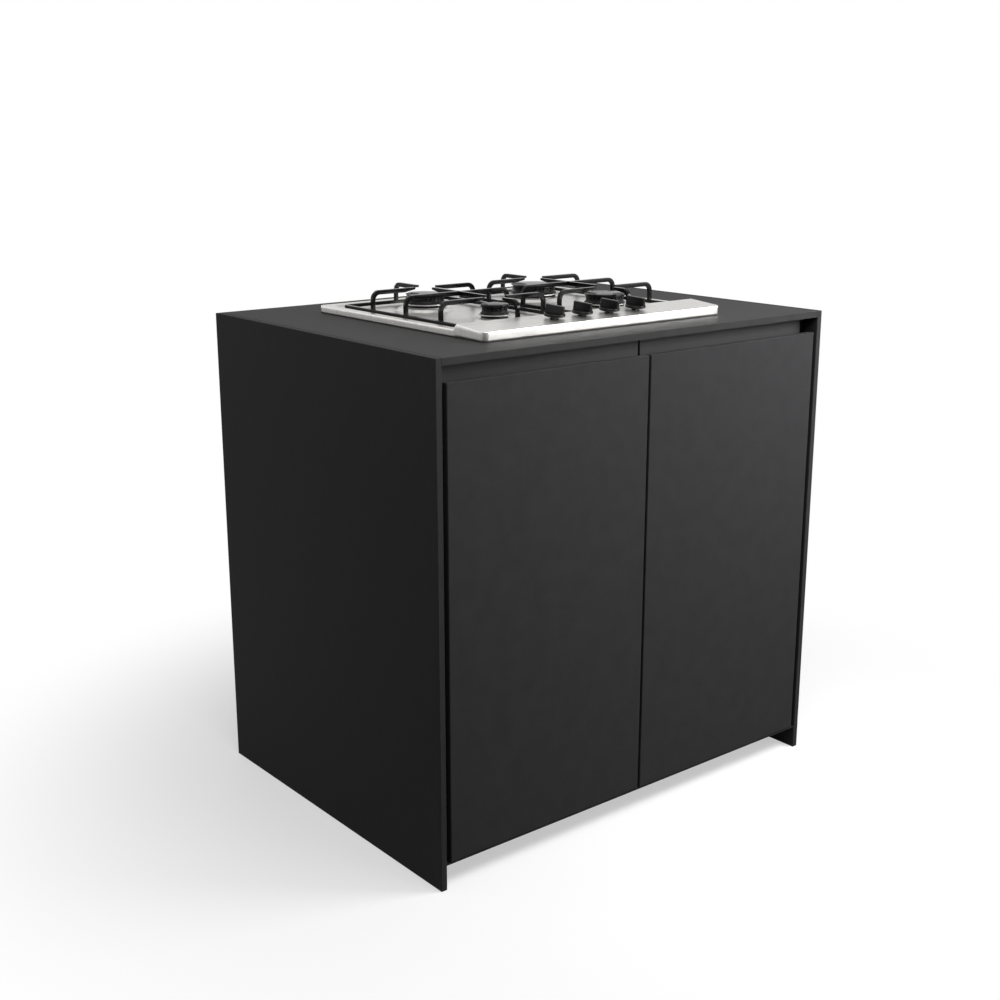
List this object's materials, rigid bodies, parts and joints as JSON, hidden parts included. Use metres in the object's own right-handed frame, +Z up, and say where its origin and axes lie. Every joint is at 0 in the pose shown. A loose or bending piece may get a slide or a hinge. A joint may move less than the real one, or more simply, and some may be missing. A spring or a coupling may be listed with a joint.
{
  "type": "outdoor kitchen burner module",
  "caption": "Outdoor kitchen cabinet of thin dark slabs with hinged doors under a finger recess and a built-in stainless gas hob with lift-off pan supports and push-and-turn knobs.",
  "frame": {"origin": "on the floor under the middle of the cabinet's plan", "axes": "+X to the right seen from the front, +Y to the back, +Z up"},
  "size_m": [0.916, 0.695, 0.951],
  "materials": {
    "slab": "satin dark grey compact laminate slab",
    "worktop_slab": "honed dark grey compact slab, finely mottled",
    "carcass": "black powder coat",
    "fascia": "dark grey powder coat",
    "black_plastic": "moulded black plastic",
    "rubber": "black rubber",
    "hinge_steel": "nickel plated steel",
    "stainless": "brushed stainless steel",
    "galvanised": "galvanised sheet",
    "cast_aluminium": "cast aluminium",
    "pipe_aluminium": "drawn aluminium tube",
    "brass": "turned brass",
    "ceramic": "white glazed ceramic",
    "crown_black": "black enamelled casting",
    "cap_enamel": "matt black enamel",
    "support_enamel": "satin black enamel",
    "knob_plastic": "satin black moulded plastic"
  },
  "bodies": {
    "cabinet": {"side_panel_left": "slab", "side_panel_right": "slab", "worktop": "worktop_slab", "fascia_left": "fascia", "fascia_right": "fascia", "carcass_side_left": "carcass", "carcass_side_right": "carcass", "floor_plate": "carcass", "crossbars": "carcass", "back_panel": "slab", "vent_grilles": "carcass", "hose_grommet": "rubber", "levelling_feet": "black_plastic", "hinge_arms": "hinge_steel", "hinge_plates": "hinge_steel", "hinge_pins": "hinge_steel", "door_catches": "black_plastic", "hob_tray": "stainless", "burner_box": "galvanised", "hob_seal": "rubber", "hob_clamps": "galvanised", "clamp_screws": "galvanised", "injectors": "brass", "spark_electrodes": "ceramic", "flame_sensors": "hinge_steel", "gas_taps": "brass", "gas_manifold": "galvanised", "feed_pipes": "pipe_aluminium", "gas_inlet": "brass", "spark_generator": "black_plastic", "burner_cup_rear_left": "cast_aluminium", "burner_cup_front_left": "cast_aluminium", "burner_cup_rear_right": "cast_aluminium", "burner_cup_front_right": "cast_aluminium"},
    "left_door": {"door_left": "slab", "hinge_cups_left": "hinge_steel", "door_strike_left": "galvanised"},
    "right_door": {"door_right": "slab", "hinge_cups_right": "hinge_steel", "door_strike_right": "galvanised"},
    "left_pan_support": {"pan_support_left": "support_enamel", "support_feet_left": "rubber"},
    "right_pan_support": {"pan_support_right": "support_enamel", "support_feet_right": "rubber"},
    "crown_rear_left": {"burner_crown_rear_left": "crown_black"},
    "cap_rear_left": {"burner_cap_rear_left": "cap_enamel"},
    "crown_front_left": {"burner_crown_front_left": "crown_black"},
    "cap_front_left": {"burner_cap_front_left": "cap_enamel"},
    "crown_rear_right": {"burner_crown_rear_right": "crown_black"},
    "cap_rear_right": {"burner_cap_rear_right": "cap_enamel"},
    "crown_front_right": {"burner_crown_front_right": "crown_black"},
    "cap_front_right": {"burner_cap_front_right": "cap_enamel"},
    "tap_spindle_1": {"spindle_1": "galvanised"},
    "tap_knob_1": {"knob_1": "knob_plastic"},
    "tap_spindle_2": {"spindle_2": "galvanised"},
    "tap_knob_2": {"knob_2": "knob_plastic"},
    "tap_spindle_3": {"spindle_3": "galvanised"},
    "tap_knob_3": {"knob_3": "knob_plastic"},
    "tap_spindle_4": {"spindle_4": "galvanised"},
    "tap_knob_4": {"knob_4": "knob_plastic"}
  },
  "joints": [
    {"name": "left_door_hinge", "type": "hinge", "parent": "cabinet", "child": "left_door", "pos_m": [-0.427, -0.3323, 0.454], "axis": [0, 0, -1], "range_deg": [0, 95]},
    {"name": "right_door_hinge", "type": "hinge", "parent": "cabinet", "child": "right_door", "pos_m": [0.427, -0.3323, 0.454], "axis": [0, 0, 1], "range_deg": [0, 95]},
    {"name": "left_pan_support_lift", "type": "slide", "parent": "cabinet", "child": "left_pan_support", "axis": [0, 0, 1], "range_m": [0, 0.06]},
    {"name": "right_pan_support_lift", "type": "slide", "parent": "cabinet", "child": "right_pan_support", "axis": [0, 0, 1], "range_m": [0, 0.06]},
    {"name": "crown_rear_left_lift", "type": "slide", "parent": "cabinet", "child": "crown_rear_left", "axis": [0, 0, 1], "range_m": [0, 0.0025]},
    {"name": "cap_rear_left_lift", "type": "slide", "parent": "crown_rear_left", "child": "cap_rear_left", "axis": [0, 0, 1], "range_m": [0, 0.0025]},
    {"name": "crown_front_left_lift", "type": "slide", "parent": "cabinet", "child": "crown_front_left", "axis": [0, 0, 1], "range_m": [0, 0.0025]},
    {"name": "cap_front_left_lift", "type": "slide", "parent": "crown_front_left", "child": "cap_front_left", "axis": [0, 0, 1], "range_m": [0, 0.0025]},
    {"name": "crown_rear_right_lift", "type": "slide", "parent": "cabinet", "child": "crown_rear_right", "axis": [0, 0, 1], "range_m": [0, 0.0025]},
    {"name": "cap_rear_right_lift", "type": "slide", "parent": "crown_rear_right", "child": "cap_rear_right", "axis": [0, 0, 1], "range_m": [0, 0.0025]},
    {"name": "crown_front_right_lift", "type": "slide", "parent": "cabinet", "child": "crown_front_right", "axis": [0, 0, 1], "range_m": [0, 0.0025]},
    {"name": "cap_front_right_lift", "type": "slide", "parent": "crown_front_right", "child": "cap_front_right", "axis": [0, 0, 1], "range_m": [0, 0.0025]},
    {"name": "tap_1_turn", "type": "hinge", "parent": "cabinet", "child": "tap_spindle_1", "pos_m": [-0.1193, -0.2325, 0.92068], "axis": [0, -0.0835, 0.9965], "range_deg": [0, 210]},
    {"name": "knob_1_push", "type": "slide", "parent": "tap_spindle_1", "child": "tap_knob_1", "axis": [0, 0.0835, -0.9965], "range_m": [0, 0.0035], "stiffness_N_per_m": 1200, "springref_m": -0.0015},
    {"name": "tap_2_turn", "type": "hinge", "parent": "cabinet", "child": "tap_spindle_2", "pos_m": [-0.0551, -0.2325, 0.92068], "axis": [0, -0.0835, 0.9965], "range_deg": [0, 210]},
    {"name": "knob_2_push", "type": "slide", "parent": "tap_spindle_2", "child": "tap_knob_2", "axis": [0, 0.0835, -0.9965], "range_m": [0, 0.0035], "stiffness_N_per_m": 1200, "springref_m": -0.0015},
    {"name": "tap_3_turn", "type": "hinge", "parent": "cabinet", "child": "tap_spindle_3", "pos_m": [0.0091, -0.2325, 0.92068], "axis": [0, -0.0835, 0.9965], "range_deg": [0, 210]},
    {"name": "knob_3_push", "type": "slide", "parent": "tap_spindle_3", "child": "tap_knob_3", "axis": [0, 0.0835, -0.9965], "range_m": [0, 0.0035], "stiffness_N_per_m": 1200, "springref_m": -0.0015},
    {"name": "tap_4_turn", "type": "hinge", "parent": "cabinet", "child": "tap_spindle_4", "pos_m": [0.0733, -0.2325, 0.92068], "axis": [0, -0.0835, 0.9965], "range_deg": [0, 210]},
    {"name": "knob_4_push", "type": "slide", "parent": "tap_spindle_4", "child": "tap_knob_4", "axis": [0, 0.0835, -0.9965], "range_m": [0, 0.0035], "stiffness_N_per_m": 1200, "springref_m": -0.0015}
  ]
}
